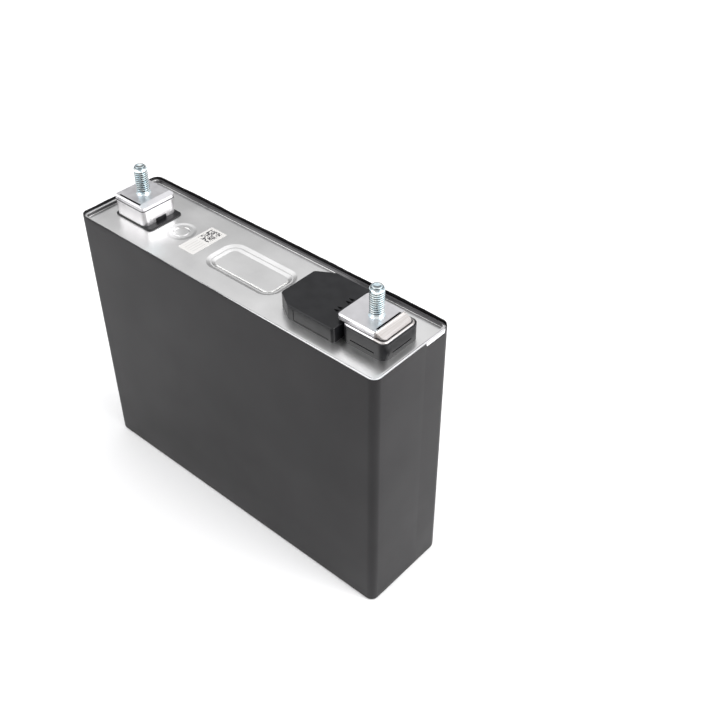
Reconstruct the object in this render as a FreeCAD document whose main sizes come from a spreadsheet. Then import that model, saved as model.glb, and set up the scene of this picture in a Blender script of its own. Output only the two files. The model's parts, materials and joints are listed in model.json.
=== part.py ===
import FreeCAD, Part
import math
import os
import re
import Sketcher

# A prismatic lithium-ion cell, 173 x 45 mm on its base, with two M6 terminal studs.
# Millimetres. X runs along the cell's length, Y through its thickness and Z up.
# The origin is the middle of the underside. The positive terminal is at -X.

SIZES = {
    # Deep-drawn aluminium case and its recessed lid
    "case_length": 173.0,
    "case_thickness": 45.0,
    "case_wall": 0.8,
    "case_floor": 1.5,
    "case_corner": 3.5,
    "case_bottom_round": 1.2,
    "lid_level": 127.4,
    "lid_plate": 2.0,
    "rim_height": 1.6,
    "rim_width": 0.8,
    "bead_width": 0.9,
    "bead_height": 0.15,
    "bead_round": 0.12,
    # Insulating film around the case
    "film": 0.15,
    "film_lip": 1.4,
    "film_lip_low": 0.1,
    "film_bare_drop": 1.8,
    "film_step": 7.3,
    "film_step_run": 0.5,
    "flap": 0.12,
    "flap_foot": 3.0,
    # Safety vent in the middle of the lid
    "vent_x": -0.8,
    "vent_length": 41.6,
    "vent_width": 20.8,
    "vent_corner": 7.0,
    "vent_inner_length": 37.0,
    "vent_inner_width": 16.2,
    "vent_inner_corner": 4.7,
    "vent_step": 0.65,
    "vent_slope": 1.7,
    "vent_opening_length": 31.0,
    "vent_opening_width": 11.0,
    "vent_opening_corner": 2.0,
    "vent_sheet": 0.35,
    "vent_score": 0.2,
    "vent_score_length": 25.0,
    "vent_score_width": 7.0,
    "vent_score_groove": 0.3,
    # Electrolyte filling port
    "port_x": -44.5,
    "port_dish_diameter": 13.6,
    "port_dish_depth": 0.15,
    "port_dish_slope": 1.4,
    "port_recess_diameter": 7.8,
    "port_recess_depth": 0.5,
    "port_bore_diameter": 3.0,
    "port_pin_foot": 0.4,
    "port_cap_diameter": 7.0,
    "port_cap_height": 0.35,
    "port_cap_edge": 0.15,
    "port_cap_bevel": 0.4,
    # Printed label on the lid
    "label_x": -32.0,
    "label_y": 1.0,
    "label_width": 9.5,
    "label_length": 20.0,
    "label_sheet": 0.1,
    "label_corner": 0.4,
    # Terminals: both studs stand on the same axes as their rivets
    "terminal_x": 68.0,
    "terminal_height": 7.9,
    "rivet_radius": 4.0,
    "rivet_head_radius": 6.5,
    "rivet_head_height": 1.2,
    "rivet_head_bevel": 0.5,
    "gasket_radius": 6.0,
    "gasket_flange_radius": 8.0,
    "gasket_flange_height": 0.4,
    "stud_plate_length": 19.4,
    "stud_plate_width": 18.6,
    "stud_plate_height": 2.6,
    "stud_plate_round": 1.6,
    "stud_plate_bevel": 0.5,
    "positive_plate_shift": 0.3,
    "negative_plate_shift": -2.4,
    "stud_slope_width": 3.0,
    "stud_slope_drop": 0.9,
    "stud_lip_reach": 3.6,
    "stud_lip_edge": 0.5,
    "stud_lip_round": 1.8,
    "stud_groove_margin": 0.9,
    "stud_groove_width": 0.9,
    "stud_groove_half_length": 7.0,
    "stud_groove_depth": 1.2,
    "stud_radius": 3.0,
    "stud_collar_radius": 3.35,
    "stud_collar_height": 0.5,
    "stud_collar_rim": 0.2,
    "stud_length": 13.5,
    "stud_point_radius": 2.1,
    "stud_point_height": 1.2,
    "stud_point_bevel": 0.4,
    "stud_neck_radius": 2.6,
    # Positive terminal: aluminium block on a thin plastic tray
    "tray_height": 0.7,
    "tray_margin": 0.45,
    "tray_ledge": 3.4,
    "tray_round": 2.0,
    "tray_edge_round": 0.3,
    "block_length": 20.0,
    "block_width": 18.4,
    "block_round": 2.8,
    "block_edge_round": 0.5,
    "notch_width": 5.5,
    "notch_depth": 1.4,
    "notch_height": 1.7,
    "tab_reach": 0.4,
    # Negative terminal: plate on a tall plastic base
    "base_height": 5.0,
    "base_start": 58.8,
    "base_end": 80.7,
    "base_half_width": 10.6,
    "base_round": 3.4,
    "base_wall_height": 7.3,
    "plate_end": 80.0,
    "plate_half_width": 9.9,
    "plate_round": 2.8,
    "plate_gap": 0.1,
    "plate_edge_round": 0.7,
    "slit_depth": 0.5,
    "slit_foot": 2.0,
    "slit_height": 0.5,
    "slit_margin": 5.0,
    "tongue_half_width": 7.0,
    "tongue_sheet": 0.8,
    "tongue_start": 34.0,
    "tongue_corner": 1.5,
    # Overcharge safety device and its moulded cover
    "device_x": 41.0,
    "diaphragm_radius": 8.0,
    "diaphragm_opening_radius": 6.0,
    "diaphragm_sheet": 0.4,
    "diaphragm_dish": 0.8,
    "diaphragm_bend_radius": 5.5,
    "diaphragm_knee_radius": 3.3,
    "contact_radius": 3.0,
    "contact_height": 4.2,
    "contact_bevel": 0.6,
    "cover_start": 26.6,
    "cover_end": 58.5,
    "cover_half_width": 14.4,
    "cover_height": 6.8,
    "cover_wall": 1.2,
    "cover_roof": 1.0,
    "cover_cut_length": 8.0,
    "cover_cut_width": 4.9,
    "cover_corner": 1.4,
    "cover_edge_round": 0.5,
    "cover_gap": 0.2,
    "panel_depth": 0.15,
    "panel_foot": 0.5,
    "panel_top": 5.9,
    "panel_start": 37.5,
    "panel_end": 56.0,
    "clip_x": 52.3,
    "clip_pitch": 6.9,
    "clip_width": 1.7,
    "clip_length": 2.4,
    "clip_spread": 0.2,
    "clip_depth": 0.7,
    # Under the lid
    "inner_insulator": 2.0,
    "inner_insulator_half_length": 14.0,
    "inner_insulator_half_width": 19.0,
    "collector_sheet": 1.5,
    "collector_half_width": 18.0,
    "collector_outer": 16.0,
    "collector_inner": 8.0,
    "fuse_slot_gap": 1.0,
    "fuse_slot_length": 2.0,
    "fuse_slot_width": 7.0,
    "finger_sheet": 1.2,
    "finger_width": 5.0,
    "finger_foot": 20.0,
    "finger_overlap": 0.2,
    "guard_length": 46.0,
    "guard_width": 27.0,
    "guard_height": 1.6,
    "guard_slot_length": 34.0,
    "guard_slot_width": 3.0,
    "guard_slot_pitch": 6.5,
    "guard_corner": 3.0,
    "insulator_corner": 2.0,
    "collector_corner": 1.5,
    # Wound electrodes and what holds them
    "spacer_sheet": 0.8,
    "bag_sheet": 0.2,
    "bag_length": 170.4,
    "bag_thickness": 42.4,
    "bag_top": 119.0,
    "bag_corner": 2.0,
    "spacer_margin": 1.0,
    "retainer_sheet": 0.7,
    "retainer_gap": 0.15,
    "roll_pitch": 10.3,
    "roll_thickness": 9.9,
    "roll_slit": 0.6,
    "roll_bottom": 3.2,
    "roll_top": 117.0,
    "roll_length": 146.0,
    "foil_end": 84.0,
    "foil_gather": 6.0,
    "foil_spread": 0.46,
    "foil_stack": 2.0,
    "foil_bottom": 18.0,
    "foil_top": 104.0,
    "strip_sheet": 0.4,
    "strip_near": 0.5,
    "strip_far": 4.5,
    "strip_bottom": 40.0,
    "strip_top": 82.0,
    "tape_sheet": 0.12,
    "tape_width": 30.0,
    "tape_height": 50.0,
}

doc = FreeCAD.newDocument("prismatic_cell")
sheet = doc.addObject("Spreadsheet::Sheet", "Sizes")
for row, (alias, value) in enumerate(SIZES.items(), start=1):
    sheet.set(f"A{row}", alias)
    sheet.set(f"B{row}", str(value))
    sheet.setAlias(f"B{row}", alias)
doc.recompute()
scratch = doc.addObject("Spreadsheet::Sheet", "Scratch")

parts = []


def bound(text):
    """The expression with every size's name turned into a reference to the sheet."""
    return re.sub(r"[a-z_]+", lambda word: word[0] if word[0] not in SIZES else f"Sizes.{word[0]}", str(text))


def value_of(text):
    """What an expression is worth now, worked out in a sheet that no part refers to."""
    scratch.set("A1", f"={bound(text)}")
    scratch.recompute()
    return float(scratch.get("A1"))


# ---------------------------------------------------------------- sketches

def dimension(sketch, kind, expression, *points):
    """Adds one driven dimension, such as a DistanceX or a Radius, to a sketch."""
    index = sketch.addConstraint(Sketcher.Constraint(kind, *points, value_of(expression)))
    name = f"size_{index}"
    sketch.renameConstraint(index, name)
    sketch.setExpression(f"Constraints.{name}", bound(expression))


def polygon(*corners):
    """Draws straight runs through corners, each a pair of expressions."""
    def draw(sketch):
        points = [FreeCAD.Vector(value_of(u), value_of(v), 0) for u, v in corners]
        count = len(points)
        first = sketch.GeometryCount
        for index in range(count):
            sketch.addGeometry(Part.LineSegment(points[index], points[(index + 1) % count]))
        for index, (u, v) in enumerate(corners):
            following = first + (index + 1) % count
            sketch.addConstraint(Sketcher.Constraint("Coincident", first + index, 2, following, 1))
            dimension(sketch, "DistanceX", u, -1, 1, first + index, 1)
            dimension(sketch, "DistanceY", v, -1, 1, first + index, 1)
    return draw


def rectangle(left, bottom, right, top):
    """Draws a rectangle between two pairs of expressions."""
    return polygon((left, bottom), (right, bottom), (right, top), (left, top))


def rounded(left, bottom, right, top, radius):
    """Draws a rectangle with four round corners."""
    def draw(sketch):
        x_low, y_low, x_high, y_high, bend = (value_of(size) for size in (left, bottom, right, top, radius))
        first = sketch.GeometryCount
        corners = (
            (x_high - bend, y_low + bend, 270, (x_low + bend, y_low), (x_high - bend, y_low)),
            (x_high - bend, y_high - bend, 0, (x_high, y_low + bend), (x_high, y_high - bend)),
            (x_low + bend, y_high - bend, 90, (x_high - bend, y_high), (x_low + bend, y_high)),
            (x_low + bend, y_low + bend, 180, (x_low, y_high - bend), (x_low, y_low + bend)),
        )
        for x_centre, y_centre, start, begin, end in corners:
            sketch.addGeometry(Part.LineSegment(FreeCAD.Vector(*begin, 0), FreeCAD.Vector(*end, 0)))
            circle = Part.Circle(FreeCAD.Vector(x_centre, y_centre, 0), FreeCAD.Vector(0, 0, 1), bend)
            sketch.addGeometry(Part.ArcOfCircle(circle, math.radians(start), math.radians(start + 90)))
        for side in range(4):
            line = first + 2 * side
            arc = line + 1
            next_line = first + (2 * side + 2) % 8
            sketch.addConstraint(Sketcher.Constraint("Tangent", line, 2, arc, 1))
            sketch.addConstraint(Sketcher.Constraint("Tangent", arc, 2, next_line, 1))
            sketch.addConstraint(Sketcher.Constraint("Horizontal" if side % 2 == 0 else "Vertical", line))
            if side:
                sketch.addConstraint(Sketcher.Constraint("Equal", first + 1, arc))
        dimension(sketch, "Radius", radius, first + 1)
        dimension(sketch, "DistanceY", bottom, -1, 1, first, 1)
        dimension(sketch, "DistanceX", right, -1, 1, first + 2, 1)
        dimension(sketch, "DistanceY", top, -1, 1, first + 4, 1)
        dimension(sketch, "DistanceX", left, -1, 1, first + 6, 1)
    return draw


def circle(x_centre, y_centre, radius):
    """Draws a circle."""
    def draw(sketch):
        centre = FreeCAD.Vector(value_of(x_centre), value_of(y_centre), 0)
        shape = Part.Circle(centre, FreeCAD.Vector(0, 0, 1), value_of(radius))
        index = sketch.addGeometry(shape)
        dimension(sketch, "DistanceX", x_centre, -1, 1, index, 3)
        dimension(sketch, "DistanceY", y_centre, -1, 1, index, 3)
        dimension(sketch, "Radius", radius, index)
    return draw


def slot(x_centre, y_centre, length, width, upright=False):
    """Draws a slot with two straight sides and two round ends, along the first or the second axis."""
    def draw(sketch):
        x_middle, y_middle, bend = (value_of(size) for size in (x_centre, y_centre, f"({width}) / 2"))
        straight = value_of(f"({length}) / 2") - bend
        across = FreeCAD.Vector(bend, 0, 0) if upright else FreeCAD.Vector(0, -bend, 0)
        along = FreeCAD.Vector(0, straight, 0) if upright else FreeCAD.Vector(straight, 0, 0)
        middle = FreeCAD.Vector(x_middle, y_middle, 0)
        first = sketch.GeometryCount
        for sign, start in ((1, 0 if upright else -90), (-1, 180 if upright else 90)):
            begin = middle + (across - along) * sign
            sketch.addGeometry(Part.LineSegment(begin, begin + along * 2 * sign))
            end = Part.Circle(middle + along * sign, FreeCAD.Vector(0, 0, 1), bend)
            sketch.addGeometry(Part.ArcOfCircle(end, math.radians(start), math.radians(start + 180)))
        for line, arc, following in ((first, first + 1, first + 2), (first + 2, first + 3, first)):
            sketch.addConstraint(Sketcher.Constraint("Tangent", line, 2, arc, 1))
            sketch.addConstraint(Sketcher.Constraint("Tangent", arc, 2, following, 1))
        sketch.addConstraint(Sketcher.Constraint("Vertical" if upright else "Horizontal", first))
        sketch.addConstraint(Sketcher.Constraint("Equal", first + 1, first + 3))
        dimension(sketch, "Radius", f"({width}) / 2", first + 1)
        reach = f"(({length}) - ({width})) / 2"
        names = ("DistanceY", "DistanceX") if upright else ("DistanceX", "DistanceY")
        far, fixed = (y_centre, x_centre) if upright else (x_centre, y_centre)
        dimension(sketch, names[1], fixed, -1, 1, first + 1, 3)
        dimension(sketch, names[0], f"{far} + {reach}", -1, 1, first + 1, 3)
        dimension(sketch, names[0], f"{far} - {reach}", -1, 1, first + 3, 3)
    return draw


def both(*outlines):
    """Draws several outlines in one sketch."""
    def draw(sketch):
        for outline in outlines:
            outline(sketch)
    return draw


# ---------------------------------------------------------------- features

def plane_of(body, role):
    """The body's own origin plane with that role."""
    return next(feature for feature in body.Origin.OriginFeatures if feature.Role == role)


def sketch_on(body, outline, level, role="XY_Plane"):
    """A sketch in the body, on one of its origin planes moved along its normal to level."""
    sketch = body.newObject("Sketcher::SketchObject", f"{body.Name}_sketch")
    sketch.AttachmentSupport = [(plane_of(body, role), "")]
    sketch.MapMode = "FlatFace"
    sketch.setExpression("AttachmentOffset.Base.z", bound(level))
    outline(sketch)
    doc.recompute()
    return sketch


def new_body(name, x="0", turned=False):
    """An empty body, placed with its axis at x and turned half round if it is a mirror place."""
    body = doc.addObject("PartDesign::Body", name)
    body.Label = name
    if turned:
        body.Placement = FreeCAD.Placement(FreeCAD.Vector(), FreeCAD.Rotation(FreeCAD.Vector(0, 0, 1), 180))
    body.setExpression("Placement.Base.x", bound(x))
    parts.append(body)
    return body


def pad(body, outline, level, height, role="XY_Plane", middle=False):
    """Adds material from level upwards, or to both sides of it."""
    feature = body.newObject("PartDesign::Pad", f"{body.Name}_pad")
    feature.Profile = sketch_on(body, outline, level, role)
    feature.SideType = "Symmetric" if middle else "One side"
    feature.setExpression("Length", bound(height))
    doc.recompute()
    return feature


def pocket(body, outline, level, depth, role="XY_Plane", upwards=False, slope=None):
    """Takes material away from level downwards, or upwards; it must take some.

    With a slope the walls lean in by that much over the depth.
    """
    before = body.Shape.Volume
    feature = body.newObject("PartDesign::Pocket", f"{body.Name}_pocket")
    feature.Profile = sketch_on(body, outline, level, role)
    feature.Reversed = upwards
    feature.setExpression("Length", bound(depth))
    if slope is not None:
        feature.setExpression("TaperAngle", bound(f"-1 * atan({slope} / {depth})"))
    doc.recompute()
    if body.Shape.Volume >= before:
        raise RuntimeError(f"{feature.Name} takes nothing away from {body.Label}")
    return feature


def revolve(body, corners):
    """Turns a profile of (radius, height) corners round the body's Z axis."""
    feature = body.newObject("PartDesign::Revolution", f"{body.Name}_turned")
    profile = sketch_on(body, polygon(*corners), "0", "XZ_Plane")
    feature.Profile = profile
    feature.ReferenceAxis = (profile, ["V_Axis"])
    feature.Angle = 360
    doc.recompute()
    return feature


def dress(body, kind, size, wanted):
    """Rounds (Fillet) or bevels (Chamfer) the edges of the body for which wanted(edge) is true."""
    base = body.Tip
    names = [f"Edge{index}" for index, edge in enumerate(base.Shape.Edges, start=1) if wanted(edge)]
    if not names:
        raise RuntimeError(f"no edge of {body.Label} to dress")
    feature = body.newObject(f"PartDesign::{kind}", f"{body.Name}_{kind.lower()}")
    feature.Base = (base, names)
    feature.setExpression("Radius" if kind == "Fillet" else "Size", bound(size))
    doc.recompute()
    return feature


def edge_at(level, inside=None):
    """True for an edge that lies flat at that level, and inside a box (x, y half sizes) if one is given."""
    height = value_of(level)

    def wanted(edge):
        box = edge.BoundBox
        flat = abs(box.ZMin - height) < 1e-3 and abs(box.ZMax - height) < 1e-3
        if inside is None or not flat:
            return flat
        middle = edge.BoundBox.Center
        return abs(middle.x) < inside[0] and abs(middle.y) < inside[1]
    return wanted


def box(name, x_low, y_low, z_low, x_high, y_high, z_high, keep=True):
    """A plain sheet or block between two corners."""
    block = doc.addObject("Part::Box", name)
    block.Label = name
    for axis, low, high, side in (("x", x_low, x_high, "Length"), ("y", y_low, y_high, "Width"),
                                  ("z", z_low, z_high, "Height")):
        block.setExpression(f"Placement.Base.{axis}", bound(low))
        block.setExpression(side, bound(f"({high}) - ({low})"))
    if keep:
        parts.append(block)
    return block


# ---------------------------------------------------------------- levels used by several parts

RIM = "(lid_level + rim_height)"
LID_UNDERSIDE = "(lid_level - lid_plate)"
COLLECTOR_TOP = "(lid_level - lid_plate - inner_insulator)"
TERMINAL_TOP = "(lid_level + terminal_height)"
HALF_LENGTH = "case_length / 2"
HALF_THICKNESS = "case_thickness / 2"
INNER_HALF_LENGTH = "(case_length / 2 - case_wall)"
INNER_HALF_THICKNESS = "(case_thickness / 2 - case_wall)"
FLOOR = "(film + case_floor)"


def centred(half_x, half_y, radius):
    """A round-cornered rectangle about the origin."""
    return rounded(f"0 - {half_x}", f"0 - {half_y}", half_x, half_y, radius)


def vent_outline(length, width, radius):
    """A round-cornered rectangle about the middle of the vent."""
    return rounded(f"vent_x - ({length}) / 2", f"0 - ({width}) / 2", f"vent_x + ({length}) / 2",
                   f"({width}) / 2", radius)


# ---------------------------------------------------------------- case, lid and film

def make_can():
    """The deep-drawn can: one cup of aluminium, open at the top."""
    can = new_body("can")
    pad(can, centred(HALF_LENGTH, HALF_THICKNESS, "case_corner"), "film", f"{RIM} - film")
    dress(can, "Fillet", "case_bottom_round", edge_at("film"))
    pocket(can, centred(INNER_HALF_LENGTH, INNER_HALF_THICKNESS, "case_corner - case_wall"),
           RIM, f"{RIM} - {FLOOR}")


def make_lid():
    """The cap plate: a raised rim around a recessed field, with the vent, port and terminal openings."""
    lid = new_body("lid_plate")
    pad(lid, centred(INNER_HALF_LENGTH, INNER_HALF_THICKNESS, "case_corner - case_wall"),
        LID_UNDERSIDE, f"{RIM} - {LID_UNDERSIDE}")
    pocket(lid, centred(f"({INNER_HALF_LENGTH} - rim_width)", f"({INNER_HALF_THICKNESS} - rim_width)",
                        "case_corner - case_wall - rim_width"), RIM, "rim_height")
    pocket(lid, vent_outline("vent_length", "vent_width", "vent_corner"), "lid_level", "vent_step",
           slope="vent_slope")
    pocket(lid, vent_outline("vent_inner_length", "vent_inner_width", "vent_inner_corner"),
           "lid_level - vent_step", "vent_step", slope="vent_slope")
    pocket(lid, vent_outline("vent_opening_length", "vent_opening_width", "vent_opening_corner"),
           "lid_level", "lid_plate + 1")
    pocket(lid, circle("port_x", "0", "port_dish_diameter / 2"), "lid_level", "port_dish_depth",
           slope="port_dish_slope")
    pocket(lid, circle("port_x", "0", "port_recess_diameter / 2"), "lid_level", "port_recess_depth")
    pocket(lid, both(circle("port_x", "0", "port_bore_diameter / 2"),
                     circle("0 - terminal_x", "0", "gasket_radius"),
                     circle("terminal_x", "0", "gasket_radius")), "lid_level", "lid_plate + 1")
    pocket(lid, circle("device_x", "0", "diaphragm_radius"), "lid_level", "diaphragm_sheet")
    pocket(lid, circle("device_x", "0", "diaphragm_opening_radius"), "lid_level", "lid_plate + 1")


def make_weld_bead():
    """The laser weld that closes the seam between the can and the lid."""
    bead = new_body("lid_weld_bead")
    half = "bead_width / 2"
    pad(bead, centred(f"({INNER_HALF_LENGTH} + {half})", f"({INNER_HALF_THICKNESS} + {half})",
                      f"case_corner - case_wall + {half}"), RIM, "bead_height")
    pocket(bead, centred(f"({INNER_HALF_LENGTH} - {half})", f"({INNER_HALF_THICKNESS} - {half})",
                         f"case_corner - case_wall - {half}"), f"{RIM} + bead_height", "bead_height")
    dress(bead, "Fillet", "bead_round", edge_at(f"{RIM} + bead_height"))


def make_film():
    """The insulating film: a thin envelope around the can whose top edge is uneven.

    It stands proud of the rim at the back and the left, runs down to the rim along the front,
    and stops short of it over the back part of the right-hand end.
    """
    film = new_body("insulation_film")
    top = f"({RIM} + film_lip)"
    pad(film, centred(HALF_LENGTH, HALF_THICKNESS, "case_corner"), "film", f"{top} - film")
    dress(film, "Fillet", "case_bottom_round", edge_at("film"))
    base = film.Tip
    mouth = max(range(len(base.Shape.Faces)), key=lambda index: base.Shape.Faces[index].CenterOfMass.z)
    skin = film.newObject("PartDesign::Thickness", "film_skin")
    skin.Base = (base, [f"Face{mouth + 1}"])
    skin.Reversed = False
    skin.setExpression("Value", bound("film"))
    doc.recompute()
    outside = "(case_thickness / 2 + film + 1)"
    pocket(film, polygon((f"0 - {HALF_LENGTH} + case_corner", f"{top} + 1"),
                         (f"0 - {HALF_LENGTH} + case_corner", top),
                         (f"{HALF_LENGTH} + 1", f"{RIM} + film_lip_low"),
                         (f"{HALF_LENGTH} + 1", f"{top} + 1")),
           outside, "case_corner + 2", "XZ_Plane")
    end = "(case_length / 2 + film + 1)"
    pocket(film, polygon((f"0 - {HALF_THICKNESS} - 1", f"{top} + 1"),
                         (f"0 - {HALF_THICKNESS} - 1", f"{RIM} + film_lip_low"),
                         ("film_step", f"{RIM} + film_lip_low"),
                         ("film_step + film_step_run", f"{RIM} - film_bare_drop"),
                         (f"{HALF_THICKNESS} - case_corner", f"{RIM} - film_bare_drop"),
                         (f"{HALF_THICKNESS} - case_corner / 2", f"{top} + 1")),
           end, "case_corner + 2", "YZ_Plane")


def make_flaps():
    """The overlapping ends of the film, heat-welded on to both narrow ends of the cell."""
    outside = "(case_length / 2 + film)"
    edge = f"({HALF_THICKNESS} - case_corner)"
    top = f"{RIM} + film_lip_low"
    box("film_flap_right", outside, f"0 - {edge}", "flap_foot", f"{outside} + flap", "film_step", top)
    box("film_flap_left", f"0 - {outside} - flap", "0 - film_step", "flap_foot", f"0 - {outside}", edge, top)


def make_label():
    """The small printed label on the lid."""
    label = new_body("lid_label")
    pad(label, rounded("label_x - label_width / 2", "label_y - label_length / 2",
                       "label_x + label_width / 2", "label_y + label_length / 2", "label_corner"),
        "lid_level", "label_sheet")


# ---------------------------------------------------------------- vent and filling port

def make_vent():
    """The rupture sheet, scored on its underside, and the plastic guard below it."""
    level = "(lid_level - 2 * vent_step)"
    vent = new_body("vent_rupture_sheet")
    pad(vent, vent_outline("vent_inner_length - 2 * vent_slope", "vent_inner_width - 2 * vent_slope",
                           "vent_inner_corner - vent_slope"), level, "vent_sheet")
    pocket(vent, both(slot("vent_x", "0", "vent_score_length", "vent_score_width"),
                      slot("vent_x", "0", "vent_score_length - 2 * vent_score_groove",
                           "vent_score_width - 2 * vent_score_groove")),
           level, "vent_score", upwards=True)
    guard = new_body("vent_guard")
    slots = [slot("0", f"guard_slot_pitch * {place}", "guard_slot_length", "guard_slot_width")
             for place in (-1, 0, 1)]
    pad(guard, centred("guard_length / 2", "guard_width / 2", "guard_corner"),
        f"{LID_UNDERSIDE} - guard_height", "guard_height")
    pocket(guard, both(*slots), LID_UNDERSIDE, "guard_height")


def make_filling_port():
    """The pin that stops the filling hole and the cap welded over it."""
    pin = new_body("fill_port_pin", "port_x")
    radius = "port_bore_diameter / 2"
    floor = "(lid_level - port_recess_depth)"
    foot = f"{LID_UNDERSIDE} - port_pin_foot"
    revolve(pin, (("0", foot), (f"{radius} - port_pin_foot", foot), (radius, LID_UNDERSIDE),
                  (radius, floor), ("0", floor)))
    cap = new_body("fill_port_cap", "port_x")
    edge = "port_cap_diameter / 2"
    revolve(cap, (("0", floor), (edge, floor), (edge, f"{floor} + port_cap_edge"),
                  (f"{edge} - port_cap_bevel", f"{floor} + port_cap_height"),
                  ("0", f"{floor} + port_cap_height")))


# ---------------------------------------------------------------- terminals

def make_stud_plate(name, x, shift, across):
    """The steel foot that carries a stud, with one groove near an edge.

    The groove runs along the -Y edge when across is false, and the plate slopes down at its +X edge.
    When across is true the groove runs along the +X edge, and a sloping lip reaches out beyond it.
    """
    plate = new_body(name, x)
    left = f"({shift} - stud_plate_length / 2)"
    right = f"({shift} + stud_plate_length / 2)"
    half = "stud_plate_width / 2"
    top = f"({TERMINAL_TOP} + stud_plate_height)"
    pad(plate, rounded(left, f"0 - {half}", right, half, "stud_plate_round"),
        TERMINAL_TOP, "stud_plate_height")
    dress(plate, "Chamfer", "stud_plate_bevel", edge_at(top))
    if across:
        groove = rectangle(f"{right} - stud_groove_margin - stud_groove_width", "0 - stud_groove_half_length",
                           f"{right} - stud_groove_margin", "stud_groove_half_length")
        tip = f"({right} + stud_lip_reach)"
        shoulder = f"({top} - stud_plate_bevel)"
        lip = polygon((f"{right} - stud_plate_bevel", TERMINAL_TOP), (tip, TERMINAL_TOP),
                      (tip, f"{TERMINAL_TOP} + stud_lip_edge"), (right, shoulder),
                      (f"{right} - stud_plate_bevel", shoulder))
        pad(plate, lip, "0", "stud_plate_width - stud_plate_round", "XZ_Plane", middle=True)
        reach = value_of(tip) - 0.01
        dress(plate, "Fillet", "stud_lip_round",
              lambda edge: edge.BoundBox.XMin > reach and edge.BoundBox.ZLength > 0.1)
    else:
        slope = polygon((f"{right} - stud_slope_width", top), (f"{right} + 1", f"{top} - stud_slope_drop"),
                        (f"{right} + 1", f"{top} + 1"))
        pocket(plate, slope, f"{half} + 1", "stud_plate_width + 2", "XZ_Plane")
        groove = rectangle(f"{shift} - stud_groove_half_length", f"stud_groove_margin - {half}",
                           f"{shift} + stud_groove_half_length",
                           f"stud_groove_margin + stud_groove_width - {half}")
    pocket(plate, groove, top, "stud_groove_depth")
    pocket(plate, circle("0", "0", "stud_radius"), top, "stud_plate_height")


def make_stud(name, x):
    """An M6 stud: a collar on the plate, the threaded length at its major size, and a dog point."""
    stud = new_body(name, x)
    foot = TERMINAL_TOP
    seat = f"({foot} + stud_plate_height)"
    top = f"({seat} + stud_length)"
    revolve(stud, (("0", foot), ("stud_radius", foot), ("stud_radius", seat),
                   ("stud_collar_radius", seat),
                   ("stud_collar_radius", f"{seat} + stud_collar_rim"),
                   ("stud_radius", f"{seat} + stud_collar_height"),
                   ("stud_radius", f"{top} - stud_point_height"),
                   ("stud_neck_radius", f"{top} - stud_point_height + stud_point_bevel"),
                   ("stud_neck_radius", f"{top} - stud_point_bevel"),
                   ("stud_point_radius", top), ("0", top)))


def make_rivet(name, x):
    """The rivet that carries the current through the lid, headed under the collector."""
    rivet = new_body(name, x)
    under = f"({COLLECTOR_TOP} - collector_sheet)"
    revolve(rivet, (("0", f"{under} - rivet_head_height"),
                    ("rivet_head_radius - rivet_head_bevel", f"{under} - rivet_head_height"),
                    ("rivet_head_radius", f"{under} - rivet_head_height + rivet_head_bevel"),
                    ("rivet_head_radius", under), ("rivet_radius", under),
                    ("rivet_radius", TERMINAL_TOP), ("0", TERMINAL_TOP)))


def make_gasket(name, x):
    """The flanged rubber sleeve that seals the rivet in the lid."""
    gasket = new_body(name, x)
    revolve(gasket, (("rivet_radius", COLLECTOR_TOP), ("gasket_radius", COLLECTOR_TOP),
                     ("gasket_radius", "lid_level"), ("gasket_flange_radius", "lid_level"),
                     ("gasket_flange_radius", "lid_level + gasket_flange_height"),
                     ("rivet_radius", "lid_level + gasket_flange_height")))


def make_inner_insulator(name, x):
    """The moulded plate between the lid and the collector."""
    plate = new_body(name, x)
    pad(plate, centred("inner_insulator_half_length", "inner_insulator_half_width", "insulator_corner"),
        COLLECTOR_TOP, "inner_insulator")
    pocket(plate, circle("0", "0", "gasket_radius"), LID_UNDERSIDE, "inner_insulator")


def make_collector(name, x, turned, fused):
    """The bent collector: a flat leg under the lid and two fingers down between the foil ends.

    Before it is turned, the fingers are at its -X end.
    """
    collector = new_body(name, x, turned)
    under = f"({COLLECTOR_TOP} - collector_sheet)"
    pad(collector, rounded("0 - collector_outer", "0 - collector_half_width",
                           "collector_inner", "collector_half_width", "collector_corner"),
        under, "collector_sheet")
    pocket(collector, circle("0", "0", "rivet_radius"), COLLECTOR_TOP, "collector_sheet")
    if fused:
        end = "(0 - rivet_head_radius - fuse_slot_gap)"
        slots = [rectangle(f"{end} - fuse_slot_length", f"{side} - fuse_slot_width / 2",
                           end, f"{side} + fuse_slot_width / 2")
                 for side in ("0 - collector_half_width / 2", "collector_half_width / 2")]
        pocket(collector, both(*slots), COLLECTOR_TOP, "collector_sheet")
    for side in ("0 - roll_pitch", "roll_pitch"):
        pad(collector, rectangle("0 - collector_outer", f"{side} - finger_sheet / 2",
                                 "0 - collector_outer + finger_width", f"{side} + finger_sheet / 2"),
            "finger_foot", f"{under} - finger_foot + finger_overlap")


def make_positive_tray():
    """The thin black tray under the positive block, with a ledge and a tab on its +X side."""
    tray = new_body("positive_outer_insulator", "0 - terminal_x")
    near = "(block_length / 2 + tray_margin)"
    far = "(block_length / 2 + tray_ledge)"
    half = "(block_width / 2 + tray_margin)"
    top = "(lid_level + tray_height)"
    pad(tray, rounded(f"0 - {near}", f"0 - {half}", far, half, "tray_round"), "lid_level", "tray_height")
    dress(tray, "Fillet", "tray_edge_round", edge_at(top))
    pad(tray, rectangle("block_length / 2 - notch_depth", "0 - notch_width / 2",
                        "block_length / 2 + tab_reach", "notch_width / 2"), top, "notch_height")
    pocket(tray, circle("0", "0", "gasket_flange_radius"), "lid_level", "gasket_flange_height", upwards=True)
    pocket(tray, circle("0", "0", "rivet_radius"), top, "tray_height + 1")


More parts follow.
